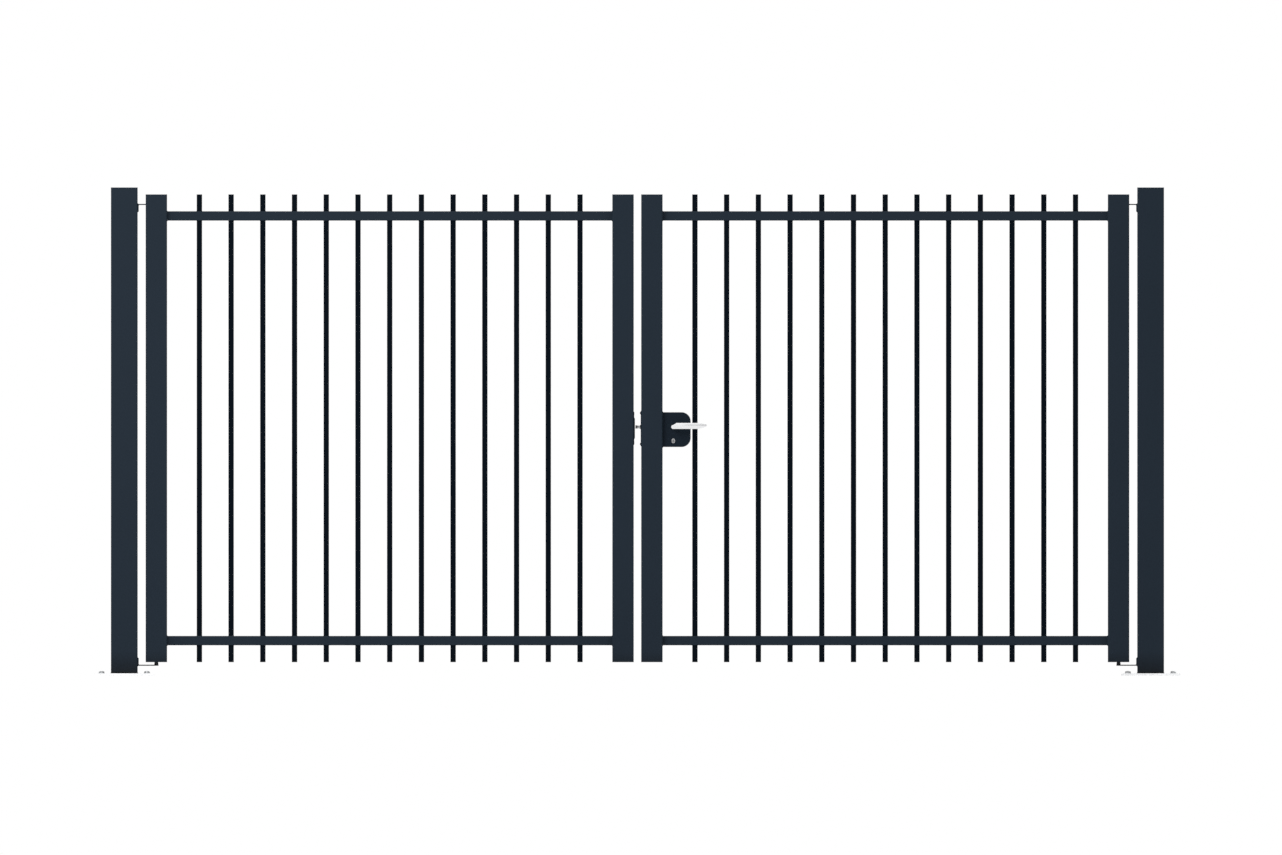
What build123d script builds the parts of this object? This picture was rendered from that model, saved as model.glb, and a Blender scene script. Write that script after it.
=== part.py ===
from build123d import *
import os

# A double-leaf driveway gate of square steel tube, between two posts on base plates.
# Sizes are in millimetres. The origin is the middle of the underside of the left post's
# base plate, at ground level. +X runs along the gate to the right post, +Y is the side
# that both leaves open to, and +Z is up.

# Gateway
opening_width = 3740  # clear width between the posts
post_gap = 30  # post to leaf
meeting_gap = 28  # leaf to leaf
ground_gap = 50  # ground to the underside of a leaf
leaf_height = 1750
post_rise = 26  # a post's height above the leaves

# Posts and base plates
post_size = 100
post_wall = 3
post_cap_thickness = 3
base_plate_size = 220
base_plate_thickness = 8
anchor_spacing = 170
anchor_hole_diameter = 14

# Frames of the leaves
stile_size = 80
stile_wall = 3
rail_size = 35
rail_wall = 2
rail_inset = 63  # end of the leaf to the near face of a rail
end_plate_thickness = 3
end_plate_fit = 0.2  # gap round a plate that closes a tube
corner_walls = 1.6  # outer corner radius of a tube, in walls of that tube

# Upright bars
bars_per_leaf = 13
bar_size = 20
bar_wall = 1.5
bar_side_gap = 111  # stile to the nearest bar
bar_corner = 1.2  # bevel on the corners of a bar
bar_hole_fit = 0.2  # gap between a bar and the edge of its hole in a rail
bar_plug_thickness = 3

# Hinge brackets, pivots and bearings
bracket_width = 40
bracket_thickness = 4
bracket_leg = 29  # height of the leg on the post, plate included
bracket_bend = 3  # radius inside the bend
lower_plate_drop = 9.5  # underside of the leaf to the top of the lower plate
upper_plate_drop = 35.5  # top of the leaf to the top of the upper plate
slot_clearance = 5  # round the upper plate where it turns in the stile
lower_plate_end = 16  # width of a plate where it ends round the hinge axis
upper_plate_end = 32
pin_diameter = 12
rivet_diameter = 8  # tail of the lower pin, through its plate
pin_clearance = 0.05  # radial, a pin in its bearing
pin_overrun = 3  # a pin's end beyond its bearing
collar_foot_diameter = 16
collar_top_diameter = 14
bearing_gap = 0.3  # top of the collar to the bearing
bearing_thickness = 8

# Lock
lock_height = 930  # ground to the spindle and the latch
lock_backset = 40  # stile to the spindle and the key cylinder
case_width = 105
case_height = 130
case_depth = 40
case_drop = 10  # middle of the case below the spindle
case_wall = 2.5
case_corner = 34
case_bevel = 1.5
cylinder_drop = 52  # key cylinder below the spindle
cylinder_width = 12
cylinder_height = 17
cylinder_proud = 2
cylinder_fit = 0.2
keyway_width = 2
keyway_height = 8
keyway_depth = 10

# Latch, forend and keep
latch_height = 12
latch_thickness = 10
latch_groove_height = 3  # groove along the middle of the latch, front and back
latch_groove_depth = 2
latch_fit = 0.4  # gap between the latch and the edges of its holes
latch_tail = 12  # latch inside the lock case
latch_tip_gap = 2  # tip of the latch to the keep
latch_nose = 3  # flat part of the latch's tip
latch_bevel = 7
forend_height = 132
forend_width = 24
forend_thickness = 2
forend_drop = 6  # middle of the forend below the latch
keep_height = 124
keep_width = 24
keep_drop = 5  # middle of the keep below the latch
keep_thickness = 2
keep_rise = 2.5  # raised middle of the keep
keep_rise_height = 72
keep_ramp = 5
pocket_clearance = 2  # round the latch in the keep

# Lever handles, each a neck and a grip. Heights are measured from the spindle's axis.
neck_diameter = 15
neck_clearance = 0.05  # radial, a neck in the wall of the case
neck_length = 34  # case to the grip
neck_depth = 12  # neck inside the case
spindle_size = 8
spindle_fit = 0.1
spindle_seat = 20  # spindle inside each neck
grip_length = 125  # axis to the tip
grip_top = 15
grip_shoulder = 12  # axis to where the grip has its full height
grip_taper_start = 84  # axis to where the grip begins to narrow
grip_thickness = 12
grip_tip_thickness = 8
grip_tip_height = 5
grip_tip_rise = 6  # middle of the tip above the axis
grip_facet_height = 7
grip_facet_depth = 4
grip_groove_start = 32  # axis to where the groove under the facet begins
grip_groove_height = 2
grip_groove_depth = 1.5

# Worked out from the sizes above
post_spacing = opening_width + post_size
post_top = ground_gap + leaf_height + post_rise
leaf_width = (opening_width - 2 * post_gap - meeting_gap) / 2
leaf_bottom = ground_gap
leaf_top = ground_gap + leaf_height
leaf_start = post_size / 2 + post_gap
hinge_axis = leaf_start + stile_size / 2
meeting_axis = leaf_start + leaf_width - stile_size / 2
rail_start = leaf_start + stile_size
rail_length = leaf_width - 2 * stile_size
lower_rail_bottom = leaf_bottom + rail_inset
upper_rail_bottom = leaf_top - rail_inset - rail_size
first_bar = rail_start + bar_side_gap + bar_size / 2
bar_pitch = (rail_length - 2 * bar_side_gap - bar_size) / (bars_per_leaf - 1)
lower_plate_bottom = leaf_bottom - lower_plate_drop - bracket_thickness
upper_plate_bottom = leaf_top - upper_plate_drop - bracket_thickness
slot_bottom = upper_plate_bottom - slot_clearance
slot_top = upper_plate_bottom + bracket_thickness + slot_clearance


def export(part, name):
    """Label a finished piece and write it to its own file."""
    part.label = name
    export_step(part, "parts/" + name + ".step")


def tube_section(size, wall):
    """Add a square tube's section to the sketch, with its outer corners rounded."""
    RectangleRounded(size, size, corner_walls * wall)
    Rectangle(size - 2 * wall, size - 2 * wall, mode=Mode.SUBTRACT)


def closing_section(size, wall):
    """Add the section of a plate that closes a square tube from inside to the sketch."""
    closing_size = size - 2 * wall - 2 * end_plate_fit
    Rectangle(closing_size, closing_size)


def latch_section(clearance):
    """Add the latch's section, grown by a clearance, to a sketch that faces along X."""
    with Locations((0, lock_height)):
        Rectangle(latch_thickness + 2 * clearance, latch_height + 2 * clearance)


os.makedirs("parts", exist_ok=True)

# Each half of the gate is laid out from its own post towards the middle of the gateway:
# to the right from the left post, and to the left from the right post.
halves = {"left": (0, 1), "right": (post_spacing, -1)}

for side, (post_x, inward) in halves.items():
    hinge_x = post_x + inward * hinge_axis
    meeting_x = post_x + inward * meeting_axis
    bar_places = [(post_x + inward * (first_bar + i * bar_pitch), 0) for i in range(bars_per_leaf)]

    # Base plate with a hole for an anchor near each corner
    with BuildPart() as base_plate:
        with BuildSketch(Plane.XY):
            with Locations((post_x, 0)):
                Rectangle(base_plate_size, base_plate_size)
                with GridLocations(anchor_spacing, anchor_spacing, 2, 2):
                    Circle(anchor_hole_diameter / 2, mode=Mode.SUBTRACT)
        extrude(amount=base_plate_thickness)
    export(base_plate.part, side + "_base_plate")

    # Post of square tube on the plate, and the plate that closes its top
    with BuildPart() as post:
        with BuildSketch(Plane.XY.offset(base_plate_thickness)):
            with Locations((post_x, 0)):
                tube_section(post_size, post_wall)
        extrude(amount=post_top - post_cap_thickness - base_plate_thickness)
    export(post.part, side + "_post")

    with BuildPart() as post_cap:
        with BuildSketch(Plane.XY.offset(post_top - post_cap_thickness)):
            with Locations((post_x, 0)):
                RectangleRounded(post_size, post_size, corner_walls * post_wall)
        extrude(amount=post_cap_thickness)
    export(post_cap.part, side + "_post_cap")

    # Brackets, each a bent strip: a leg on the post and a plate that narrows to a round end
    # on the hinge axis. The lower leg stands on its plate, and the upper leg hangs from it.
    post_face = post_x + inward * post_size / 2
    bend_x = post_face + inward * bracket_thickness
    bend_length = bracket_thickness + bracket_bend
    for level, plate_bottom, leg_bottom, bend_z, plate_end, hole_diameter in (
        (
            "lower",
            lower_plate_bottom,
            lower_plate_bottom,
            lower_plate_bottom + bracket_thickness,
            lower_plate_end,
            rivet_diameter,
        ),
        (
            "upper",
            upper_plate_bottom,
            upper_plate_bottom + bracket_thickness - bracket_leg,
            upper_plate_bottom,
            upper_plate_end,
            pin_diameter,
        ),
    ):
        with BuildPart() as bracket:
            with BuildSketch(Plane.XY.offset(plate_bottom)):
                with Locations((post_face + inward * bend_length / 2, 0)):
                    Rectangle(bend_length, bracket_width)
                with Locations((hinge_x, 0)):
                    Circle(plate_end / 2)
                make_hull()
                with Locations((hinge_x, 0)):
                    Circle(hole_diameter / 2, mode=Mode.SUBTRACT)
            extrude(amount=bracket_thickness)
            with BuildSketch(Plane.XY.offset(leg_bottom)):
                with Locations((post_face + inward * bracket_thickness / 2, 0)):
                    Rectangle(bracket_thickness, bracket_width)
            extrude(amount=bracket_leg)
            bend_edge = bracket.edges().filter_by(Axis.Y).sort_by_distance((bend_x, 0, bend_z))[0]
            fillet(bend_edge, bracket_bend)
        export(bracket.part, side + "_" + level + "_bracket")

    # Pivots: below, a pin with a tapered collar that the leaf turns on, riveted in its plate
    # by a thinner tail, and above, a plain pin through its plate
    collar_seat = lower_plate_bottom + bracket_thickness
    collar_top = leaf_bottom - bearing_gap
    lower_pin_top = leaf_bottom + bearing_thickness + pin_overrun
    rivet_edge = hinge_x + rivet_diameter / 2
    pin_edge = hinge_x + pin_diameter / 2
    with BuildPart() as pivots:
        with BuildSketch(Plane.XZ):
            with BuildLine():
                Polyline(
                    (hinge_x, lower_plate_bottom),
                    (rivet_edge, lower_plate_bottom),
                    (rivet_edge, collar_seat),
                    (hinge_x + collar_foot_diameter / 2, collar_seat),
                    (hinge_x + collar_top_diameter / 2, collar_top),
                    (pin_edge, collar_top),
                    (pin_edge, lower_pin_top),
                    (hinge_x, lower_pin_top),
                    close=True,
                )
            make_face()
        revolve(axis=Axis((hinge_x, 0, 0), (0, 0, 1)))
        with BuildSketch(Plane.XY.offset(slot_bottom - bearing_thickness - pin_overrun)):
            with Locations((hinge_x, 0)):
                Circle(pin_diameter / 2)
        extrude(amount=slot_top - slot_bottom + 2 * (bearing_thickness + pin_overrun))
    export(pivots.part, side + "_pivots")

    # Hinge stile, open at one back corner so that it can turn round the upper plate
    slot_middle = bracket_width / 2 + slot_clearance - stile_size / 2
    with BuildPart() as hinge_stile:
        with BuildSketch(Plane.XY.offset(leaf_bottom)):
            with Locations((hinge_x, 0)):
                tube_section(stile_size, stile_wall)
        extrude(amount=leaf_height)
        with BuildSketch(Plane.XY.offset(slot_bottom)):
            with Locations((hinge_x + inward * slot_middle, -slot_middle)):
                Rectangle(stile_size, stile_size)
        extrude(amount=slot_top - slot_bottom, mode=Mode.SUBTRACT)
    export(hinge_stile.part, side + "_hinge_stile")

    # Bearing plates inside the hinge stile: one closes its foot, two hold the upper pin
    with BuildPart() as bearings:
        for bearing_bottom in (leaf_bottom, slot_bottom - bearing_thickness, slot_top):
            with BuildSketch(Plane.XY.offset(bearing_bottom)):
                with Locations((hinge_x, 0)):
                    closing_section(stile_size, stile_wall)
                    Circle(pin_diameter / 2 + pin_clearance, mode=Mode.SUBTRACT)
            extrude(amount=bearing_thickness)
    export(bearings.part, side + "_bearings")

    # Meeting stile. The right one has holes that the latch passes through, and the left
    # one a wider hole behind the keep.
    with BuildPart() as meeting_stile:
        with BuildSketch(Plane.XY.offset(leaf_bottom)):
            with Locations((meeting_x, 0)):
                tube_section(stile_size, stile_wall)
        extrude(amount=leaf_height)
        if side == "right":
            with BuildSketch(Plane.YZ.offset(meeting_x - stile_size / 2)):
                latch_section(latch_fit)
            extrude(amount=stile_size, mode=Mode.SUBTRACT)
        else:
            with BuildSketch(Plane.YZ.offset(meeting_x)):
                latch_section(pocket_clearance)
            extrude(amount=stile_size / 2, mode=Mode.SUBTRACT)
    export(meeting_stile.part, side + "_meeting_stile")

    # Plates that close the other ends of the stiles
    with BuildPart() as end_plates:
        for stile_x, plate_bottom in (
            (hinge_x, leaf_top - end_plate_thickness),
            (meeting_x, leaf_top - end_plate_thickness),
            (meeting_x, leaf_bottom),
        ):
            with BuildSketch(Plane.XY.offset(plate_bottom)):
                with Locations((stile_x, 0)):
                    closing_section(stile_size, stile_wall)
            extrude(amount=end_plate_thickness)
    export(end_plates.part, side + "_end_plates")

    # Rails between the stiles, punched with a square hole for each bar
    rail_x = min(post_x + inward * rail_start, post_x + inward * (rail_start + rail_length))
    for level, rail_bottom in (("lower", lower_rail_bottom), ("upper", upper_rail_bottom)):
        with BuildPart() as rail:
            with BuildSketch(Plane.YZ.offset(rail_x)):
                with Locations((0, rail_bottom + rail_size / 2)):
                    tube_section(rail_size, rail_wall)
            extrude(amount=rail_length)
            with BuildSketch(Plane.XY.offset(rail_bottom)):
                with Locations(bar_places):
                    Rectangle(bar_size + 2 * bar_hole_fit, bar_size + 2 * bar_hole_fit)
            extrude(amount=rail_size, mode=Mode.SUBTRACT)
        export(rail.part, side + "_" + level + "_rail")

    # Upright bars, as long as the stiles, with a plug in each end
    with BuildPart() as bars:
        with BuildSketch(Plane.XY.offset(leaf_bottom)) as bar_sections:
            with Locations(bar_places):
                Rectangle(bar_size, bar_size)
            chamfer(bar_sections.vertices(), bar_corner)
            with Locations(bar_places):
                Rectangle(bar_size - 2 * bar_wall, bar_size - 2 * bar_wall, mode=Mode.SUBTRACT)
        extrude(amount=leaf_height)
    export(bars.part, side + "_bars")

    with BuildPart() as bar_plugs:
        for plug_bottom in (leaf_bottom, leaf_top - bar_plug_thickness):
            with BuildSketch(Plane.XY.offset(plug_bottom)):
                with Locations(bar_places):
                    closing_section(bar_size, bar_wall)
            extrude(amount=bar_plug_thickness)
    export(bar_plugs.part, side + "_bar_plugs")

# The lock is on the right leaf, between its meeting stile and the nearest bar. The keep
# is on the left leaf, across the meeting gap.
free_face = post_spacing - meeting_axis - stile_size / 2
case_face = free_face + stile_size
keep_face = meeting_axis + stile_size / 2
spindle_x = case_face + lock_backset
case_middle = lock_height - case_drop
forend_middle = lock_height - forend_drop
keep_middle = lock_height - keep_drop
cylinder_z = lock_height - cylinder_drop


def cylinder_section(clearance):
    """Add the key cylinder's oval outline, grown by a clearance, to the sketch."""
    with Locations((spindle_x, cylinder_z)):
        SlotOverall(cylinder_height + 2 * clearance, cylinder_width + 2 * clearance, rotation=90)


# Lock case: a hollow box, rounded at the two corners that stand free of the stile
with BuildPart() as lock_case:
    with BuildSketch(Plane.XZ) as case_outline:
        with Locations((case_face + case_width / 2, case_middle)):
            Rectangle(case_width, case_height)
        fillet(case_outline.vertices().group_by(Axis.X)[-1], case_corner)
    extrude(amount=case_depth / 2, both=True)
    rims = lock_case.faces().filter_by(Axis.Y).edges()
    chamfer(rims - rims.group_by(Axis.X)[0], case_bevel)
    with BuildSketch(Plane.XZ) as case_hollow:
        with Locations((case_face + case_width / 2, case_middle)):
            Rectangle(case_width - 2 * case_wall, case_height - 2 * case_wall)
        fillet(case_hollow.vertices().group_by(Axis.X)[-1], case_corner - case_wall)
    extrude(amount=case_depth / 2 - case_wall, both=True, mode=Mode.SUBTRACT)
    with BuildSketch(Plane.XZ):
        with Locations((spindle_x, lock_height)):
            Circle(neck_diameter / 2 + neck_clearance)
        cylinder_section(cylinder_fit)
    extrude(amount=case_depth / 2, both=True, mode=Mode.SUBTRACT)
    with BuildSketch(Plane.YZ.offset(case_face)):
        latch_section(latch_fit)
    extrude(amount=case_wall, mode=Mode.SUBTRACT)
export(lock_case.part, "lock_case")

# Key cylinder, right through the case, with a keyway in each end
with BuildPart() as key_cylinder:
    with BuildSketch(Plane.XZ):
        cylinder_section(0)
    extrude(amount=case_depth / 2 + cylinder_proud, both=True)
    for outward in (-1, 1):
        with BuildSketch(Plane.XZ.offset(-outward * (case_depth / 2 + cylinder_proud - keyway_depth))):
            with Locations((spindle_x, cylinder_z)):
                Rectangle(keyway_width, keyway_height)
        extrude(amount=-outward * keyway_depth, mode=Mode.SUBTRACT)
export(key_cylinder.part, "key_cylinder")

# Forend: a plate on the free face of the stile, round the latch
with BuildPart() as forend:
    with BuildSketch(Plane.YZ.offset(free_face - forend_thickness)):
        with Locations((0, forend_middle)):
            Rectangle(forend_width, forend_height)
    extrude(amount=forend_thickness)
    with BuildSketch(Plane.YZ.offset(free_face - forend_thickness)):
        latch_section(latch_fit)
    extrude(amount=forend_thickness, mode=Mode.SUBTRACT)
export(forend.part, "forend")

# Keep: a plate on the left leaf, with a raised middle round the pocket for the latch
keep_plate_face = keep_face + keep_thickness
keep_raised_face = keep_plate_face + keep_rise
keep_half = keep_height / 2
rise_half = keep_rise_height / 2
with BuildPart() as keep:
    with BuildSketch(Plane.XZ):
        with BuildLine():
            Polyline(
                (keep_face, keep_middle - keep_half),
                (keep_plate_face, keep_middle - keep_half),
                (keep_plate_face, keep_middle - rise_half - keep_ramp),
                (keep_raised_face, keep_middle - rise_half),
                (keep_raised_face, keep_middle + rise_half),
                (keep_plate_face, keep_middle + rise_half + keep_ramp),
                (keep_plate_face, keep_middle + keep_half),
                (keep_face, keep_middle + keep_half),
                close=True,
            )
        make_face()
    extrude(amount=keep_width / 2, both=True)
    with BuildSketch(Plane.YZ.offset(keep_face)):
        latch_section(pocket_clearance)
    extrude(amount=keep_thickness + keep_rise, mode=Mode.SUBTRACT)
export(keep.part, "keep")

# Latch: a flat bolt through the stile, bevelled on the side that meets the keep first and
# grooved along the middle of its front and back
latch_tip = keep_raised_face + latch_tip_gap
latch_end = case_face + latch_tail
groove_middle = (latch_thickness - latch_groove_depth) / 2
with BuildPart() as latch:
    with BuildSketch(Plane.XY.offset(lock_height - latch_height / 2)):
        with BuildLine():
            Polyline(
                (latch_end, -latch_thickness / 2),
                (latch_end, latch_thickness / 2),
                (latch_tip, latch_thickness / 2),
                (latch_tip, latch_thickness / 2 - latch_nose),
                (latch_tip + latch_bevel, -latch_thickness / 2),
                close=True,
            )
        make_face()
    extrude(amount=latch_height)
    with BuildSketch(Plane.YZ.offset(latch_tip)):
        with Locations((-groove_middle, lock_height), (groove_middle, lock_height)):
            Rectangle(latch_groove_depth, latch_groove_height)
    extrude(amount=latch_end - latch_tip, mode=Mode.SUBTRACT)
export(latch.part, "latch")

# Square spindle between the two levers, seated in the end of each neck
case_side = case_depth / 2
with BuildPart() as spindle:
    with BuildSketch(Plane.XZ):
        with Locations((spindle_x, lock_height)):
            Rectangle(spindle_size, spindle_size)
    extrude(amount=case_side - neck_depth + spindle_seat, both=True)
export(spindle.part, "spindle")

# Levers, the same at the front and the back: a grip that narrows to its tip both in
# height and in thickness, on a round neck. A slanting facet runs along its upper edge, and
# under the facet a groove that deepens towards the tip.
grip_low = lock_height - neck_diameter / 2
grip_high = lock_height + grip_top
lobe_left = spindle_x - neck_diameter / 2
shoulder_x = spindle_x + grip_shoulder
taper_x = spindle_x + grip_taper_start
tip_x = spindle_x + grip_length
tip_low = lock_height + grip_tip_rise - grip_tip_height / 2
tip_high = tip_low + grip_tip_height
grip_inner = case_side + neck_length
grip_outer = grip_inner + grip_thickness
tip_outer = grip_inner + grip_tip_thickness
facet_low = grip_high - grip_facet_height
groove_start_outer = grip_outer - (grip_outer - tip_outer) * grip_groove_start / grip_length

for facing, outward in (("front", -1), ("back", 1)):
    with BuildPart() as lever:
        with BuildSketch(Plane.XZ.offset(-outward * grip_inner)):
            with BuildLine():
                Line((spindle_x, grip_low), (taper_x, grip_low))
                TangentArc((taper_x, grip_low), (tip_x, tip_low), tangent=(1, 0))
                Line((tip_x, tip_low), (tip_x, tip_high))
                TangentArc((taper_x, grip_high), (tip_x, tip_high), tangent=(1, 0))
                Line((taper_x, grip_high), (shoulder_x, grip_high))
                Line((shoulder_x, grip_high), (spindle_x, lock_height + neck_diameter / 2))
                ThreePointArc(
                    (spindle_x, lock_height + neck_diameter / 2),
                    (lobe_left, lock_height),
                    (spindle_x, grip_low),
                )
            make_face()
        extrude(amount=-outward * grip_thickness)
        with BuildSketch(Plane.XY.offset(grip_low)):
            with BuildLine():
                Polyline(
                    (lobe_left, outward * grip_inner),
                    (lobe_left, outward * grip_outer),
                    (spindle_x, outward * grip_outer),
                    (tip_x, outward * tip_outer),
                    (tip_x, outward * grip_inner),
                    close=True,
                )
            make_face()
        extrude(amount=grip_high - grip_low, mode=Mode.INTERSECT)
        with BuildSketch(Plane.YZ.offset(lobe_left)):
            with BuildLine():
                Polyline(
                    (outward * grip_outer, facet_low),
                    (outward * grip_outer, grip_high),
                    (outward * (grip_outer - grip_facet_depth), grip_high),
                    close=True,
                )
            make_face()
        extrude(amount=tip_x - lobe_left, mode=Mode.SUBTRACT)
        with BuildSketch(Plane.XY.offset(facet_low - grip_groove_height)):
            with BuildLine():
                Polyline(
                    (spindle_x + grip_groove_start, outward * groove_start_outer),
                    (spindle_x + grip_groove_start, outward * grip_outer),
                    (tip_x, outward * grip_outer),
                    (tip_x, outward * (tip_outer - grip_groove_depth)),
                    close=True,
                )
            make_face()
        extrude(amount=grip_groove_height, mode=Mode.SUBTRACT)
        with BuildSketch(Plane.XZ.offset(-outward * (case_side - neck_depth))):
            with Locations((spindle_x, lock_height)):
                Circle(neck_diameter / 2)
        extrude(amount=-outward * (neck_depth + neck_length + grip_thickness / 2))
        with BuildSketch(Plane.XZ.offset(-outward * (case_side - neck_depth))):
            with Locations((spindle_x, lock_height)):
                Rectangle(spindle_size + 2 * spindle_fit, spindle_size + 2 * spindle_fit)
        extrude(amount=-outward * spindle_seat, mode=Mode.SUBTRACT)
    export(lever.part, facing + "_lever")
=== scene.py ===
import math

import bmesh
import bpy
from mathutils import Matrix, Vector


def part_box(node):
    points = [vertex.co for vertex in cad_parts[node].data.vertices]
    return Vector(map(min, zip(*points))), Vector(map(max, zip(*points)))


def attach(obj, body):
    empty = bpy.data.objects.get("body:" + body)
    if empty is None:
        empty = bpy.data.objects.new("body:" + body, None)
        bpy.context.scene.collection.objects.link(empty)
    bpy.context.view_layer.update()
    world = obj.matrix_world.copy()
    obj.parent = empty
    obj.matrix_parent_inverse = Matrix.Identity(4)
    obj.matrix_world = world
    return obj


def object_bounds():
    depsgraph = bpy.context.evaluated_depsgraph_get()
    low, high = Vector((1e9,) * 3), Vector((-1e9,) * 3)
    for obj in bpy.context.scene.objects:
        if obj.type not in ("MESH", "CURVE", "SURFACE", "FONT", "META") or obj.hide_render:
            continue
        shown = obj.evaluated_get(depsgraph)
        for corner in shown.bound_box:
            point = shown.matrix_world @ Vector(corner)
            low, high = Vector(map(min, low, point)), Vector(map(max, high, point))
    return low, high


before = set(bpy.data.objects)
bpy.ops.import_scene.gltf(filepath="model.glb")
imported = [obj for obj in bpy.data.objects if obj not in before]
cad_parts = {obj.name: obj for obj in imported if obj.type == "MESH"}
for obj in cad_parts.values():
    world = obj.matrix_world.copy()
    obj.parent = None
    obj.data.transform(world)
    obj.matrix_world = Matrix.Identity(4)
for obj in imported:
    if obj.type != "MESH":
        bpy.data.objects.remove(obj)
cad_low, cad_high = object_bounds()
scene = bpy.context.scene


# Studio. The gate is shown from straight in front, without perspective, so that every
# upright stays upright. The floor is pale, the background white and the light soft.
photo_width = 1282
photo_height = 855
photo_scale = 0.0037415  # metres to a pixel
photo_gateway_x = 637.46  # pixel column of the middle of the gateway
photo_ground_y = 675.5  # pixel row of the ground
camera_distance = 12
floor_size = 60
floor_deep = 0.86
floor_pale = 0.88
ambient_light = 0.72
lamp_size = 4
lamp_aside = 4.5  # from the middle of the gateway along the gate
lamp_away = 6.5  # from the gate
lamp_height = 5.5
front_power = 330
back_power = 260
quarter_turn = math.pi / 2

gateway_middle = (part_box("left_post")[0].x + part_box("right_post")[1].x) / 2
camera_data = bpy.data.cameras.new("front_camera")
camera_data.type = "ORTHO"
camera_data.ortho_scale = photo_width * photo_scale
camera = bpy.data.objects.new("front_camera", camera_data)
camera.location = (
    gateway_middle + (photo_width / 2 - photo_gateway_x) * photo_scale,
    -camera_distance,
    (photo_ground_y - photo_height / 2) * photo_scale,
)
camera.rotation_euler = (quarter_turn, 0, 0)
scene.collection.objects.link(camera)
scene.camera = camera
scene.view_settings.view_transform = "Standard"


def add_node(tree, kind, inputs=None, **settings):
    """Add a shader node, with its settings, and set or link its inputs."""
    made = tree.nodes.new("ShaderNode" + kind)
    for key, value in settings.items():
        setattr(made, key, value)
    for key, value in (inputs or {}).items():
        if isinstance(value, bpy.types.NodeSocket):
            tree.links.new(value, made.inputs[key])
        else:
            made.inputs[key].default_value = value
    return made


def math_node(tree, operation, first, second=0.0):
    """Add a math node and return its result. The result is kept between 0 and 1."""
    return add_node(tree, "Math", {0: first, 1: second}, operation=operation, use_clamp=True).outputs[0]


def span(tree, value, low, high, start=0.0, end=1.0):
    """Bring a value from the range between start and end to the range between low and high."""
    return add_node(tree, "MapRange", {0: value, 1: start, 2: end, 3: low, 4: high}).outputs[0]


world = bpy.data.worlds.new("studio")
world.use_nodes = True
scene.world = world
sky = world.node_tree
sky.nodes.clear()
ray = add_node(sky, "LightPath").outputs
seen = math_node(sky, "ADD", ray["Is Camera Ray"], ray["Is Glossy Ray"])
seen = math_node(sky, "ADD", seen, ray["Is Transmission Ray"])
lit = add_node(sky, "Background", {"Color": (1, 1, 1, 1), "Strength": ambient_light}).outputs[0]
white = add_node(sky, "Background", {"Color": (1, 1, 1, 1), "Strength": 1.0}).outputs[0]
backdrop = add_node(sky, "MixShader", {0: seen, 1: lit, 2: white}).outputs[0]
sky.links.new(backdrop, add_node(sky, "OutputWorld").inputs["Surface"])


gate_middle = Vector((gateway_middle, 0, (cad_low.z + cad_high.z) / 2))


def soft_lamp(name, aside, away, power):
    """Add a large square lamp that points at the middle of the gate."""
    lamp_data = bpy.data.lights.new(name, "AREA")
    lamp_data.size = lamp_size
    lamp_data.energy = power
    lamp = bpy.data.objects.new(name, lamp_data)
    lamp.location = (gateway_middle + aside, away, lamp_height)
    lamp.rotation_euler = (gate_middle - lamp.location).to_track_quat("-Z", "Y").to_euler()
    scene.collection.objects.link(lamp)


soft_lamp("front_lamp", -lamp_aside, -lamp_away, front_power)
soft_lamp("back_lamp", lamp_aside, lamp_away, back_power)


def new_material(name, **values):
    """Start a material and set its shader's plain values."""
    made = bpy.data.materials.new(name)
    made.use_nodes = True
    shader = made.node_tree.nodes["Principled BSDF"]
    for key, value in values.items():
        shader.inputs[key.replace("_", " ")].default_value = value
    return made, made.node_tree, shader


floor_material, tree, shader = new_material("studio_floor", Roughness=0.9, Specular_IOR_Level=0.1)
floor_mottle = add_node(tree, "TexNoise", {"Scale": 0.8, "Detail": 2.0}).outputs[0]
floor_tone = span(tree, floor_mottle, floor_deep, floor_pale)
floor_colour = add_node(tree, "CombineColor", {0: floor_tone, 1: floor_tone, 2: floor_tone}).outputs[0]
tree.links.new(floor_colour, shader.inputs["Base Color"])
floor_mesh = bpy.data.meshes.new("studio_floor")
floor_half = floor_size / 2
floor_corners = [(x * floor_half, y * floor_half, 0) for x, y in ((-1, -1), (1, -1), (1, 1), (-1, 1))]
floor_mesh.from_pydata(floor_corners, [], [(0, 1, 2, 3)])
floor_mesh.materials.append(floor_material)
floor = bpy.data.objects.new("studio_floor", floor_mesh)
scene.collection.objects.link(floor)


# Base plates. Each is a flame-cut steel plate, hot-dip galvanised and left bare, so it is
# pale grey with the crystals of the zinc showing.
zinc_pale = (0.95, 0.954, 0.96, 1)
zinc_deep = (0.86, 0.868, 0.88, 1)
dust_colour = (0.36, 0.33, 0.29, 1)
splash_dust = 0.12  # dust close to the ground, as a share of that on level faces
edge_gain = 4.0  # how fast the mask of edges rises where a surface turns


def new_group(name, inputs, outputs):
    """Start a node group with named inputs, each with its kind and value, and outputs."""
    group = bpy.data.node_groups.new(name, "ShaderNodeTree")
    for socket_name, kind, value in inputs:
        socket = group.interface.new_socket(socket_name, in_out="INPUT", socket_type="NodeSocket" + kind)
        socket.default_value = value
    for socket_name, kind in outputs:
        group.interface.new_socket(socket_name, in_out="OUTPUT", socket_type="NodeSocket" + kind)
    return group, group.nodes.new("NodeGroupInput").outputs, group.nodes.new("NodeGroupOutput").inputs


def use_group(tree, group, **values):
    """Place a node group in a material and return its outputs."""
    placed = tree.nodes.new("ShaderNodeGroup")
    placed.node_tree = group
    for key, value in values.items():
        placed.inputs[key.replace("_", " ")].default_value = value
    return placed.outputs


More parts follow.
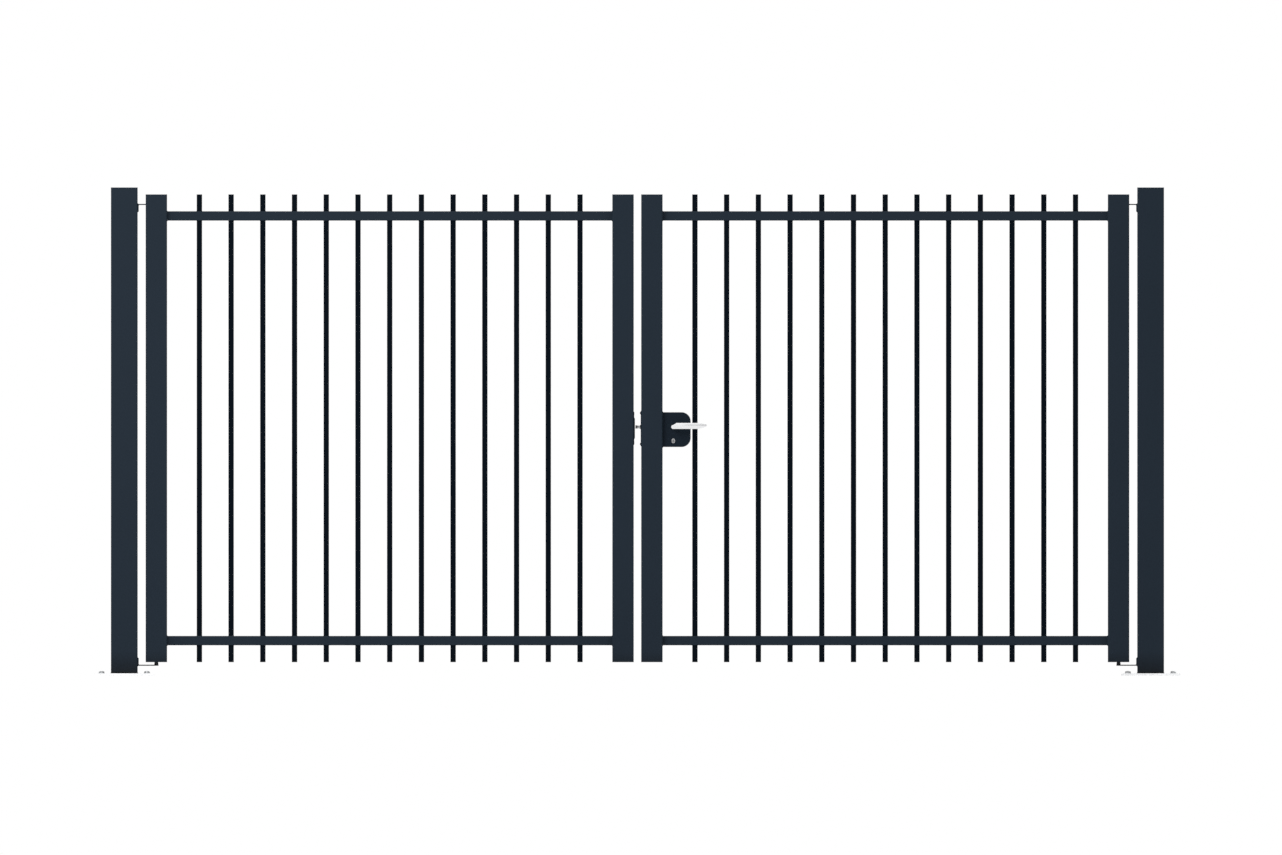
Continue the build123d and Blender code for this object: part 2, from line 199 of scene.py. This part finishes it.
def mix_colour(tree, amount, first, second):
    """Mix two colours, each a socket or a value, by an amount and return the result."""
    mixer = add_node(tree, "Mix", {0: amount, 6: first, 7: second}, data_type="RGBA")
    return mixer.outputs[2]


def frame_place(tree):
    """Return where a point of the surface lies in the frame of the gate, in metres."""
    return add_node(tree, "TexCoord").outputs["Object"]


def noise(tree, place, scale, detail):
    """Add a cloudy texture, with about as many clouds to a metre as its scale, and return it."""
    return add_node(tree, "TexNoise", {"Vector": place, "Scale": scale, "Detail": detail}).outputs[0]


def feed_shader(tree, shader, colour, roughness, height, strength, depth, edge=None):
    """Give a shader its colour, its roughness and a bump, which lies over any softened edge."""
    tree.links.new(colour, shader.inputs["Base Color"])
    tree.links.new(roughness, shader.inputs["Roughness"])
    bump = add_node(tree, "Bump", {"Strength": strength, "Distance": depth, "Height": height})
    if edge is not None:
        tree.links.new(edge["Normal"], bump.inputs["Normal"])
    tree.links.new(bump.outputs[0], shader.inputs["Normal"])


# Edge: a soft round over sharp corners, and a mask of where they are
edge_group, given, put = new_group(
    "rounded_edge",
    [("Radius", "Float", 0.001)],
    [("Normal", "Vector"), ("Mask", "Float")],
)
rounded = add_node(edge_group, "Bevel", {"Radius": given["Radius"]}, samples=4).outputs[0]
flat = add_node(edge_group, "NewGeometry").outputs["Normal"]
facing = add_node(edge_group, "VectorMath", {0: rounded, 1: flat}, operation="DOT_PRODUCT")
turned = math_node(edge_group, "SUBTRACT", 1.0, facing.outputs["Value"])
edge_group.links.new(rounded, put["Normal"])
edge_group.links.new(math_node(edge_group, "MULTIPLY", turned, edge_gain), put["Mask"])

# Dust: a thin film on faces that look up and, much more faintly, low down near the ground
dust_group, given, put = new_group(
    "settled_dust",
    [("Amount", "Float", 0.2), ("Splash Height", "Float", 0.2)],
    [("Mask", "Float")],
)
place = frame_place(dust_group)
cloud = noise(dust_group, place, 22.0, 5.0)
outward = add_node(dust_group, "NewGeometry").outputs["Normal"]
upward = add_node(dust_group, "SeparateXYZ", {0: outward}).outputs[2]
height = add_node(dust_group, "SeparateXYZ", {0: place}).outputs[2]
low_down = span(dust_group, height, splash_dust, 0.0, end=given["Splash Height"])
film = math_node(dust_group, "MAXIMUM", upward, low_down)
film = math_node(dust_group, "MULTIPLY", film, cloud)
dust_group.links.new(math_node(dust_group, "MULTIPLY", film, given["Amount"]), put["Mask"])

galvanised, tree, shader = new_material("galvanised_steel", Metallic=1.0)
place = frame_place(tree)
crystals = add_node(tree, "TexVoronoi", {"Vector": place, "Scale": 140.0, "Randomness": 1.0}).outputs
crystal_tone = add_node(tree, "SeparateColor", {0: crystals["Color"]}).outputs[0]
zinc_bloom = span(tree, noise(tree, place, 30.0, 4.0), 0.52, 0.70)
zinc = mix_colour(tree, crystal_tone, zinc_deep, zinc_pale)
zinc_dust = use_group(tree, dust_group, Amount=0.25, Splash_Height=0.02)
zinc = mix_colour(tree, zinc_dust["Mask"], zinc, dust_colour)
zinc_edge = use_group(tree, edge_group, Radius=0.0012)
feed_shader(tree, shader, zinc, zinc_bloom, crystals["Distance"],
            strength=0.4, depth=0.0002, edge=zinc_edge)


def finish_node(node, material):
    """Give a node of the frame its finish."""
    for material_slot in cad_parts[node].material_slots:
        material_slot.material = material


sides = ("left", "right")
for side in sides:
    finish_node(side + "_base_plate", galvanised)


# Posts. Square steel tube with a plate welded over the top, welded to the base plate all
# round its foot. Blasted and powder coated anthracite with a fine dull texture.
coat_colour = (0.0108, 0.0198, 0.0318, 1)
coat_dust = (0.060, 0.063, 0.066, 1)
coat_worn = (0.024, 0.035, 0.048, 1)
coat_shade = 0.84  # the deepest tone of a coat, as a share of its colour
coat_wear = 0.3  # how much of the worn colour shows along edges
coat_patches = 0.07  # how far the roughness strays to each side
# painted shade: the colour a coat is darkened to near the ground, darkest at the foot
foot_shade_colour = (0.0015, 0.0025, 0.0040, 1)
foot_shade_full = 0.012  # height up to which the painted shade at the foot is darkest
post_corner = 0.0048
foot_leg = 0.003

# Grain: the fine orange peel of a powder coat, and the slow change of tone over a piece
grain_group, given, put = new_group(
    "coat_grain",
    [("Grain", "Float", 1100.0), ("Drift", "Float", 2.5)],
    [("Height", "Float"), ("Tone", "Float")],
)
place = frame_place(grain_group)
grain_group.links.new(noise(grain_group, place, given["Grain"], 2.0), put["Height"])
grain_group.links.new(noise(grain_group, place, given["Drift"], 6.0), put["Tone"])

# Painted shade near the ground: the coat darkened towards its foot, darkest in the corner at the ground,
# made uneven by a noise
foot_shade_group, given, put = new_group(
    "painted_foot_shade",
    [("Splash Height", "Float", 0.09), ("Corner Height", "Float", 0.024)],
    [("Mask", "Float")],
)
place = frame_place(foot_shade_group)
height = add_node(foot_shade_group, "SeparateXYZ", {0: place}).outputs[2]
uneven = span(foot_shade_group, noise(foot_shade_group, place, 90.0, 4.0), 0.8, 1.2)
rising_shade = span(foot_shade_group, height, 0.75, 0.0, foot_shade_full, given["Splash Height"])
corner = span(foot_shade_group, height, 1.0, 0.0, foot_shade_full, given["Corner Height"])
foot_darkening = math_node(foot_shade_group, "MAXIMUM", rising_shade, corner)
foot_shade_group.links.new(math_node(foot_shade_group, "MULTIPLY", foot_darkening, uneven), put["Mask"])


def powder_coat(name, colour, shine, dull, grain=1100.0, edge_radius=0.0012):
    """Make a powder coat of one colour, with its grain, thin edges, a little dust and painted shade near
    the ground.
    """
    made, tree, shader = new_material(name, Specular_IOR_Level=shine)
    grains = use_group(tree, grain_group, Grain=grain)
    edge = use_group(tree, edge_group, Radius=edge_radius)
    dust = use_group(tree, dust_group, Amount=0.3)
    foot_shade = use_group(tree, foot_shade_group)
    shade = [channel * coat_shade for channel in colour[:3]] + [1]
    coat = mix_colour(tree, grains["Tone"], shade, colour)
    coat = mix_colour(tree, math_node(tree, "MULTIPLY", edge["Mask"], coat_wear), coat, coat_worn)
    coat = mix_colour(tree, dust["Mask"], coat, coat_dust)
    # painted shade towards the foot of the piece
    coat = mix_colour(tree, foot_shade["Mask"], coat, foot_shade_colour)
    rough = span(tree, grains["Height"], dull - coat_patches, dull + coat_patches)
    feed_shader(tree, shader, coat, rough, grains["Height"], strength=0.8, depth=0.0004, edge=edge)
    return made


frame_coat = powder_coat("anthracite_coat", coat_colour, shine=0.12, dull=0.54)


def rounded_loop(width, depth, corner, spacing):
    """Points round a rounded rectangle, each with the direction out of it."""
    loop = []
    for quadrant, (across, along) in enumerate(((1, 1), (-1, 1), (-1, -1), (1, -1))):
        middle = Vector((across * (width / 2 - corner), along * (depth / 2 - corner)))
        arc_steps = max(2, round(corner * quarter_turn / spacing))
        for step in range(arc_steps):
            turn = (quadrant + step / arc_steps) * quarter_turn
            out = Vector((math.cos(turn), math.sin(turn)))
            loop.append((middle + corner * out, out))
        turn = (quadrant + 1) * quarter_turn
        out = Vector((math.cos(turn), math.sin(turn)))
        run = (depth if quadrant % 2 else width) - 2 * corner
        run_steps = max(1, round(run / spacing))
        for step in range(run_steps):
            onward = Vector((-out.y, out.x)) * run * step / run_steps
            loop.append((middle + corner * out + onward, out))
    return loop


def bridge(bm, ring, following):
    """Close the band between two rings that have as many points as each other."""
    for step in range(len(ring)):
        onward = (step + 1) % len(ring)
        bm.faces.new((ring[step], ring[onward], following[onward], following[step]))


bead_points = 5  # points across the face of a bead
bead_sink = 0.0003  # how far a bead reaches into the pieces it joins
bead_flat = 0.3  # share of a bead's width that stays the same from foot to top
ripple_pitch = 0.0028
ripple_depth = 0.11
ripple_sweep = 1.6  # how far the middle of a ripple trails its ends
wander_pitch = 0.037
wander_depth = 0.06
bead_spacing = ripple_pitch / 4  # from one section of a bead to the next


def lay_bead(bm, place, path, leg):
    """Lay a rippled weld in the corner between a flat face and what stands on it. The path
    runs once round the foot of the standing piece, in the XY plane of place."""
    rings = []
    travelled = 0.0
    before = path[0][0]
    for point, out in path:
        travelled += (point - before).length
        before = point
        root = point - bead_sink * out
        ring = [bm.verts.new(place @ Vector((root.x, root.y, -bead_sink)))]
        wander = 1 + wander_depth * math.sin(2 * math.pi * travelled / wander_pitch)
        for step in range(bead_points):
            rise = quarter_turn * step / (bead_points - 1)
            ripple = math.cos(2 * math.pi * travelled / ripple_pitch - ripple_sweep * math.sin(2 * rise))
            flat_part = bead_flat + (1 - bead_flat) / (math.cos(rise) + math.sin(rise))
            reach = leg * flat_part * wander * (1 + ripple_depth * ripple)
            toe = point + out * (reach * math.cos(rise) - bead_sink)
            ring.append(bm.verts.new(place @ Vector((toe.x, toe.y, reach * math.sin(rise) - bead_sink))))
        rings.append(ring)
    for ring, following in zip(rings, rings[1:] + rings[:1]):
        bridge(bm, ring, following)


def add_piece(name, bm, body, material, sharp_angle=40):
    """Make a piece of a finished mesh and let it ride on a body."""
    bmesh.ops.recalc_face_normals(bm, faces=bm.faces)
    mesh = bpy.data.meshes.new(name)
    bm.to_mesh(mesh)
    bm.free()
    mesh.shade_smooth()
    mesh.set_sharp_from_angle(angle=math.radians(sharp_angle))
    mesh.materials.append(material)
    piece = bpy.data.objects.new(name, mesh)
    scene.collection.objects.link(piece)
    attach(piece, body)
    return piece


def centre(node):
    """Return the middle of a node's box."""
    low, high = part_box(node)
    return (low + high) / 2


def extent(node):
    """Return the size of a node's box."""
    low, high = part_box(node)
    return high - low


for side in sides:
    finish_node(side + "_post", frame_coat)
    finish_node(side + "_post_cap", frame_coat)
    post_size = extent(side + "_post").x
    foot = centre(side + "_post")
    foot.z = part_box(side + "_post")[0].z
    bm = bmesh.new()
    foot_path = rounded_loop(post_size, post_size, post_corner, bead_spacing)
    lay_bead(bm, Matrix.Translation(foot), foot_path, foot_leg)
    add_piece(side + "_foot_weld", bm, "posts", frame_coat)


# Anchors. Four threaded studs stand in the footing at each post. A washer and a thin
# nut on each, all zinc plated, hold the base plate down.
anchor_spacing = 0.170
stud_radius = 0.006
stud_pitch = 0.00175
stud_over = 0.0012  # stud above the nut
thread_depth = 0.0009
thread_steps = 24  # points round a stud
thread_rows = 6  # rings of points for each turn of the thread
washer_width = 0.024
washer_thickness = 0.002
washer_bore = 0.013
washer_rim = 0.00025  # bevel round the upper edge
nut_across = 0.018
nut_height = 0.0055
nut_chamfer = 0.0012
nut_round = 0.95  # width of the round ends, as a share of the width across the flats
nut_lead = 0.0005  # bevel where the thread begins
nut_steps = 60
nut_turn_across = 23  # degrees that the nuts are turned, so that no two stand alike
nut_turn_along = 52
ring_steps = 48
plated_deep = (0.34, 0.35, 0.36, 1)
plated_pale = (0.62, 0.63, 0.64, 1)

plated, tree, shader = new_material("zinc_plating", Metallic=1.0)
place = frame_place(tree)
patches = noise(tree, place, 160.0, 5.0)
scuffs = noise(tree, place, 1400.0, 2.0)
plated_tone = mix_colour(tree, patches, plated_deep, plated_pale)
plated_edge = use_group(tree, edge_group, Radius=0.0006)
feed_shader(tree, shader, plated_tone, span(tree, patches, 0.28, 0.5), scuffs,
            strength=0.3, depth=0.0001, edge=plated_edge)


def place_on(point, turn, axis="Y"):
    """Return a place at a point, turned about one axis of the frame."""
    return Matrix.Translation(point) @ Matrix.Rotation(turn, 4, axis)


circle = "circle"
hexagon = "hexagon"
hexagon_side = math.pi / 3  # the turn over one side


def ring_point(bm, place, reach, turn, height):
    """Add a point away from the Z axis of place, at a turn round it and a height."""
    return bm.verts.new(place @ Vector((reach * math.cos(turn), reach * math.sin(turn), height)))


def stack_rings(bm, place, rings, steps=ring_steps, bored=False):
    """Build a solid from rings about the Z axis of place. A ring is a shape, its width and
    its height. A bored solid closes on its first ring, and any other has flat ends."""
    made = []
    for shape, width, height in rings:
        ring = []
        for step in range(steps):
            turn = 2 * math.pi * step / steps
            reach = width / 2
            if shape == hexagon:
                reach /= math.cos((turn + hexagon_side / 2) % hexagon_side - hexagon_side / 2)
            ring.append(ring_point(bm, place, reach, turn, height))
        made.append(ring)
    following = made[1:] + made[:1] if bored else made[1:]
    for ring, after in zip(made, following):
        bridge(bm, ring, after)
    if not bored:
        bm.faces.new(made[0])
        bm.faces.new(reversed(made[-1]))


def add_washer(bm, place):
    """Add a flat washer that lies on the XY plane of place."""
    rings = (
        (circle, washer_bore, 0),
        (circle, washer_width, 0),
        (circle, washer_width, washer_thickness - washer_rim),
        (circle, washer_width - 2 * washer_rim, washer_thickness),
        (circle, washer_bore, washer_thickness),
    )
    stack_rings(bm, place, rings, bored=True)


def add_nut(bm, place):
    """Add a hexagon nut with chamfered corners that stands on the XY plane of place."""
    bore = 2 * stud_radius
    rings = (
        (circle, bore, 0),
        (circle, nut_across * nut_round, 0),
        (hexagon, nut_across, nut_chamfer),
        (hexagon, nut_across, nut_height - nut_chamfer),
        (circle, nut_across * nut_round, nut_height),
        (circle, bore + 2 * nut_lead, nut_height),
        (circle, bore, nut_height - nut_lead),
    )
    stack_rings(bm, place, rings, nut_steps, bored=True)


def add_stud(bm, place, length):
    """Add a threaded stud that stands on the XY plane of place, with a bevelled end."""
    rows = round(length / stud_pitch * thread_rows)
    made = []
    for row in range(rows + 1):
        height = length * row / rows
        ring = []
        for step in range(thread_steps):
            turn = 2 * math.pi * step / thread_steps
            along = (height / stud_pitch - step / thread_steps) % 1
            reach = stud_radius - thread_depth * abs(2 * along - 1)
            reach = min(reach, stud_radius - thread_depth + (length - height))
            ring.append(ring_point(bm, place, reach, turn, height))
        made.append(ring)
    for ring, after in zip(made, made[1:]):
        bridge(bm, ring, after)
    bm.faces.new(reversed(made[0]))
    bm.faces.new(made[-1])


for side in sides:
    plate_low, plate_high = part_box(side + "_base_plate")
    plate_middle = centre(side + "_base_plate")
    nut_seat = plate_high.z + washer_thickness
    stud_length = nut_seat - plate_low.z + nut_height + stud_over
    bm = bmesh.new()
    for across in (-1, 1):
        for along in (-1, 1):
            x = plate_middle.x + across * anchor_spacing / 2
            y = along * anchor_spacing / 2
            turn = math.radians(nut_turn_across * across + nut_turn_along * along)
            add_washer(bm, place_on((x, y, plate_high.z), turn, "Z"))
            add_nut(bm, place_on((x, y, nut_seat), turn, "Z"))
            add_stud(bm, Matrix.Translation((x, y, plate_low.z)), stud_length)
    add_piece(side + "_anchors", bm, "posts", plated)


# Hinges. Each bracket is a bent strip, welded to the post round its leg and coated with
# it. The pins are turned steel, fixed in the brackets and dark with oil and grease.
grease_deep = (0.012, 0.013, 0.016, 1)
grease_thin = (0.06, 0.063, 0.068, 1)
bracket_corner = 0.0005
bracket_weld = 0.0028

oiled, tree, shader = new_material("oiled_steel", Metallic=0.85)
place = frame_place(tree)
lathe = add_node(tree, "Mapping", {"Vector": place, "Scale": (60.0, 60.0, 2600.0)}).outputs[0]
turning = noise(tree, lathe, 1.0, 2.0)
grease = noise(tree, place, 240.0, 4.0)
grease_tone = mix_colour(tree, grease, grease_deep, grease_thin)
feed_shader(tree, shader, grease_tone, span(tree, grease, 0.25, 0.55), turning,
            strength=0.35, depth=0.0001)

post_faces = {"left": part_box("left_post")[1].x, "right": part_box("right_post")[0].x}
inward = {"left": 1, "right": -1}
for side in sides:
    finish_node(side + "_pivots", oiled)
    bm = bmesh.new()
    for level in ("lower", "upper"):
        bracket = side + "_" + level + "_bracket"
        finish_node(bracket, frame_coat)
        size = extent(bracket)
        middle = centre(bracket)
        on_post = place_on((post_faces[side], middle.y, middle.z), inward[side] * quarter_turn)
        bracket_path = rounded_loop(size.z, size.y, bracket_corner, bead_spacing)
        lay_bead(bm, on_post, bracket_path, bracket_weld)
    add_piece(side + "_bracket_welds", bm, "posts", frame_coat)


# Frames of the leaves. The stiles are square steel tube with plates welded in their ends,
# and the rails are smaller tube, butted to the stiles and welded all round.
rail_corner = 0.0032
rail_leg = 0.0028
for side in sides:
    for name in ("hinge_stile", "meeting_stile", "end_plates", "bearings", "lower_rail", "upper_rail"):
        finish_node(side + "_" + name, frame_coat)
    bm = bmesh.new()
    for level in ("lower", "upper"):
        rail = side + "_" + level + "_rail"
        rail_low, rail_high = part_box(rail)
        middle = centre(rail)
        rail_size = extent(rail).z
        rail_path = rounded_loop(rail_size, rail_size, rail_corner, bead_spacing)
        for end_x, turn in ((rail_low.x, quarter_turn), (rail_high.x, -quarter_turn)):
            lay_bead(bm, place_on((end_x, middle.y, middle.z), turn), rail_path, rail_leg)
    add_piece(side + "_frame_welds", bm, side + "_leaf", frame_coat)


# Upright bars. Thirteen thin square tubes in each leaf go through holes punched in both
# rails and are welded there. A black plastic plug closes each end.
bars_per_leaf = 13
bar_corner = 0.0012
bar_leg = 0.0016
bar_bead_spacing = bead_spacing * 1.5
bar_colour = (0.0026, 0.0053, 0.0092, 1)
plug_deep = (0.007, 0.008, 0.009, 1)
plug_pale = (0.014, 0.015, 0.017, 1)

bar_coat = powder_coat("bar_coat", bar_colour, shine=0.02, dull=0.66, edge_radius=0.0004)

plug_plastic, tree, shader = new_material("plug_plastic", Specular_IOR_Level=0.4)
plug_grain = use_group(tree, grain_group, Grain=1800.0, Drift=40.0)
plug_dust = use_group(tree, dust_group, Amount=0.2, Splash_Height=0.1)
plug_black = mix_colour(tree, plug_grain["Tone"], plug_deep, plug_pale)
plug_black = mix_colour(tree, plug_dust["Mask"], plug_black, coat_dust)
plug_rough = span(tree, plug_grain["Height"], 0.42, 0.6)
feed_shader(tree, shader, plug_black, plug_rough, plug_grain["Height"], strength=0.3, depth=0.0001)

for side in sides:
    finish_node(side + "_bars", bar_coat)
    finish_node(side + "_bar_plugs", plug_plastic)
    bars_size = extent(side + "_bars")
    bar_size = bars_size.y
    first_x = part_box(side + "_bars")[0].x + bar_size / 2
    pitch = (bars_size.x - bar_size) / (bars_per_leaf - 1)
    bar_path = rounded_loop(bar_size, bar_size, bar_corner, bar_bead_spacing)
    bm = bmesh.new()
    for level in ("lower", "upper"):
        rail_low, rail_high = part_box(side + "_" + level + "_rail")
        for index in range(bars_per_leaf):
            bar_x = first_x + index * pitch
            for face_z, turn in ((rail_high.z, 0), (rail_low.z, math.pi)):
                lay_bead(bm, place_on((bar_x, 0, face_z), turn, "X"), bar_path, bar_leg)
    add_piece(side + "_bar_welds", bm, side + "_leaf", bar_coat)


# Lock case. A folded steel box, welded to the inner side of the right meeting stile and
# coated a shade darker. The key cylinder of nickel-plated brass goes right through it.
lock_colour = (0.0056, 0.0118, 0.0205, 1)
nickel_deep = (0.25, 0.252, 0.256, 1)
nickel_pale = (0.42, 0.422, 0.426, 1)
# painted shade: the colour put in grooves, keyways and corners where little light gets in
recess_shade_colour = (0.030, 0.031, 0.034, 1)
shine_patches = 0.08  # how far the roughness of brushed metal strays to each side
case_corner = 0.0008
case_weld = 0.0032
key_plug_width = 0.0104
key_plug_rim = 0.0007
key_plug_proud = 0.00025

lock_coat = powder_coat("lock_coat", lock_colour, shine=0.09, dull=0.5, grain=1500.0)
finish_node("lock_case", lock_coat)
case_size = extent("lock_case")
case_middle = centre("lock_case")
on_stile = place_on((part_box("lock_case")[0].x, case_middle.y, case_middle.z), quarter_turn)
bm = bmesh.new()
lay_bead(bm, on_stile, rounded_loop(case_size.z, case_size.y, case_corner, bead_spacing), case_weld)
add_piece("lock_weld", bm, "right_leaf", lock_coat)

# Brushed metal: fine lines drawn out along one way, with slow changes of shine
brushed_group, given, put = new_group(
    "brushed_lines",
    [("Stretch", "Vector", (20.0, 1500.0, 1500.0))],
    [("Height", "Float"), ("Shine", "Float")],
)
place = frame_place(brushed_group)
drawn = add_node(brushed_group, "VectorMath", {0: place, 1: given["Stretch"]}, operation="MULTIPLY")
brushed_group.links.new(noise(brushed_group, drawn.outputs[0], 1.0, 4.0), put["Height"])
brushed_group.links.new(noise(brushed_group, place, 60.0, 4.0), put["Shine"])

# Painted shade: colour darkened in grooves, keyways and corners, where little light gets in, made patchy
# by a noise
recess_shade_group, given, put = new_group(
    "painted_recess_shade",
    [("Reach", "Float", 0.003), ("Amount", "Float", 2.0)],
    [("Mask", "Float")],
)
open_sky = add_node(recess_shade_group, "AmbientOcclusion", {"Distance": given["Reach"]},
                    samples=8, only_local=True)
hidden = math_node(recess_shade_group, "SUBTRACT", 1.0, open_sky.outputs["AO"])
hidden = math_node(recess_shade_group, "MULTIPLY", hidden, given["Amount"])
patchy = span(recess_shade_group, noise(recess_shade_group, frame_place(recess_shade_group), 900.0, 3.0), 0.7, 1.3)
recess_shade_group.links.new(math_node(recess_shade_group, "MULTIPLY", hidden, patchy), put["Mask"])


def brushed_metal(name, deep, pale, stretch, rough, recess_shade, edge_radius=0.0008, metallic=1.0):
    """Make a brushed metal between two colours, with lines drawn out along one way and painted shade
    darkening its recesses.
    """
    made, tree, shader = new_material(name, Metallic=metallic)
    brushed = use_group(tree, brushed_group, Stretch=stretch)
    edge = use_group(tree, edge_group, Radius=edge_radius)
    recess_shade_mask = use_group(tree, recess_shade_group, Amount=recess_shade)
    metal = mix_colour(tree, brushed["Height"], deep, pale)
    # painted shade where the surface is hidden in grooves and corners
    metal = mix_colour(tree, recess_shade_mask["Mask"], metal, recess_shade_colour)
    shine = span(tree, brushed["Shine"], rough - shine_patches, rough + shine_patches)
    feed_shader(tree, shader, metal, shine, brushed["Height"], strength=0.25, depth=0.00006, edge=edge)
    return made


# Painted shade darkens the keyways and the corners of the cylinder.
nickel = brushed_metal("nickel_plate", nickel_deep, nickel_pale, (900.0, 20.0, 900.0),
                       rough=0.3, recess_shade=1.6)
finish_node("key_cylinder", nickel)

# The plug that the key turns, a raised ring in each end of the cylinder
cylinder_low, cylinder_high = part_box("key_cylinder")
cylinder_middle = centre("key_cylinder")
key_plug_rings = (
    (circle, key_plug_width - 2 * key_plug_rim, 0),
    (circle, key_plug_width, 0),
    (circle, key_plug_width - key_plug_rim / 2, key_plug_proud),
    (circle, key_plug_width - 1.5 * key_plug_rim, key_plug_proud),
)
bm = bmesh.new()
for face_y, turn in ((cylinder_low.y, quarter_turn), (cylinder_high.y, -quarter_turn)):
    on_end = place_on((cylinder_middle.x, face_y, cylinder_middle.z), turn, "X")
    stack_rings(bm, on_end, key_plug_rings, bored=True)
add_piece("key_plugs", bm, "right_leaf", nickel)


# Forend. A coated plate on the free side of the same stile, round the latch, with a black
# button-head screw near each end.
screw_head = 0.0095
screw_head_height = 0.0026
screw_rim = 0.0004  # straight foot of the head, below its dome
screw_socket = 0.003
socket_lead = 0.0002  # bevel round the socket
socket_floor = 0.00078  # above the foot of the head
dome_top = 0.00375  # width of the flat on the dome
dome_steps = 6
screw_end_gap = 0.008  # end of the plate to the middle of a screw
oxide_deep = (0.010, 0.011, 0.013, 1)
oxide_pale = (0.028, 0.030, 0.034, 1)
oxide_worn = (0.16, 0.16, 0.17, 1)

finish_node("forend", frame_coat)

black_screw, tree, shader = new_material("black_screw", Metallic=0.7)
oxide = noise(tree, frame_place(tree), 700.0, 3.0)
screw_edge = use_group(tree, edge_group, Radius=0.0004)
screw_tone = mix_colour(tree, oxide, oxide_deep, oxide_pale)
screw_tone = mix_colour(tree, screw_edge["Mask"], screw_tone, oxide_worn)
feed_shader(tree, shader, screw_tone, span(tree, oxide, 0.3, 0.5), oxide,
            strength=0.2, depth=0.0001, edge=screw_edge)


def add_button_screw(bm, place):
    """Add a domed screw head with a hexagon socket that stands on the XY plane of place."""
    rings = [(circle, screw_head, 0)]
    for step in range(dome_steps + 1):
        swing = quarter_turn * step / dome_steps
        width = dome_top + (screw_head - dome_top) * math.cos(swing)
        rings.append((circle, width, screw_rim + (screw_head_height - screw_rim) * math.sin(swing)))
    rings.append((hexagon, screw_socket, screw_head_height - socket_lead))
    rings.append((hexagon, screw_socket, socket_floor))
    stack_rings(bm, place, rings)


def screw_plate(name, plate, body, face_x, turn, add_screw):
    """Add a screw near each end of an upright plate."""
    plate_low, plate_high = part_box(plate)
    bm = bmesh.new()
    for height in (plate_low.z + screw_end_gap, plate_high.z - screw_end_gap):
        add_screw(bm, place_on((face_x, 0, height), turn))
    add_piece(name, bm, body, black_screw, sharp_angle=30)


forend_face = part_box("forend")[0].x
screw_plate("forend_screws", "forend", "right_leaf", forend_face, -quarter_turn, add_button_screw)


# Keep. A pressed steel plate on the free side of the left meeting stile, raised round the
# pocket for the latch and held by a countersunk screw near each end.
keep_thickness = 0.002
flat_head_proud = 0.0004
flat_head_top = 0.008835  # width of the head's flat top
flat_socket_floor = 0.00008  # above the plate

finish_node("keep", frame_coat)


def add_flat_screw(bm, place):
    """Add a countersunk screw head that shows just above the XY plane of place."""
    rings = (
        (circle, screw_head, 0),
        (circle, flat_head_top, flat_head_proud),
        (hexagon, screw_socket, flat_head_proud),
        (hexagon, screw_socket, flat_socket_floor),
    )
    stack_rings(bm, place, rings)


keep_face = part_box("left_meeting_stile")[1].x + keep_thickness
screw_plate("keep_screws", "keep", "left_leaf", keep_face, quarter_turn, add_flat_screw)


# Latch. A flat steel bolt with a bevelled nose, bright from sliding, with painted shade darkening the
# groove along it. It slides through a black guide clipped into the forend, whose black is painted shade
# at the latch's root.
bright_deep = (0.70, 0.71, 0.72, 1)
bright_pale = (0.86, 0.87, 0.88, 1)
guide_wall = 0.0015
guide_gap = 0.0003  # round the latch
guide_proud = 0.0022
guide_rim = 0.0006
guide_corner = 0.002

# painted shade darkens the groove along the latch
bright = brushed_metal("bright_steel", bright_deep, bright_pale, (14.0, 1800.0, 1800.0),
                       rough=0.4, recess_shade=3.2, metallic=0.6)
finish_node("latch", bright)
finish_node("spindle", bright)

latch_size = extent("latch")
latch_middle = centre("latch")
guide_wide = latch_size.y + 2 * (guide_gap + guide_wall)
guide_tall = latch_size.z + 2 * (guide_gap + guide_wall)
guide_spacing = guide_tall  # one step to each side, so that only the corners get points
guide_rings = (
    (guide_wall, 0),
    (0, 0),
    (0, guide_proud - guide_rim),
    (guide_rim, guide_proud),
    (guide_wall, guide_proud),
)
on_forend = place_on((forend_face, latch_middle.y, latch_middle.z), -quarter_turn)
bm = bmesh.new()
made = []
for shrink, height in guide_rings:
    tall = guide_tall - 2 * shrink
    wide = guide_wide - 2 * shrink
    loop = rounded_loop(tall, wide, guide_corner - shrink, guide_spacing)
    made.append([bm.verts.new(on_forend @ Vector((point.x, point.y, height))) for point, out in loop])
for ring, following in zip(made, made[1:] + made[:1]):
    bridge(bm, ring, following)
# the guide's black plastic stands in for the shade at the root of the latch: painted shade
add_piece("latch_shade_guide", bm, "right_leaf", plug_plastic)


# Levers. A cast aluminium grip on a round neck at each side of the lock, satin finished,
# with a slanting facet along the upper edge.
aluminium_deep = (0.725, 0.73, 0.74, 1)
aluminium_pale = (0.83, 0.832, 0.84, 1)
# Painted shade darkens the grooves and hollows of the grip.
lever_metal = brushed_metal("satin_aluminium", aluminium_deep, aluminium_pale, (12.0, 1300.0, 1300.0),
                            rough=0.5, recess_shade=1.2, edge_radius=0.0006)
for lever in ("front_lever", "back_lever"):
    finish_node(lever, lever_metal)
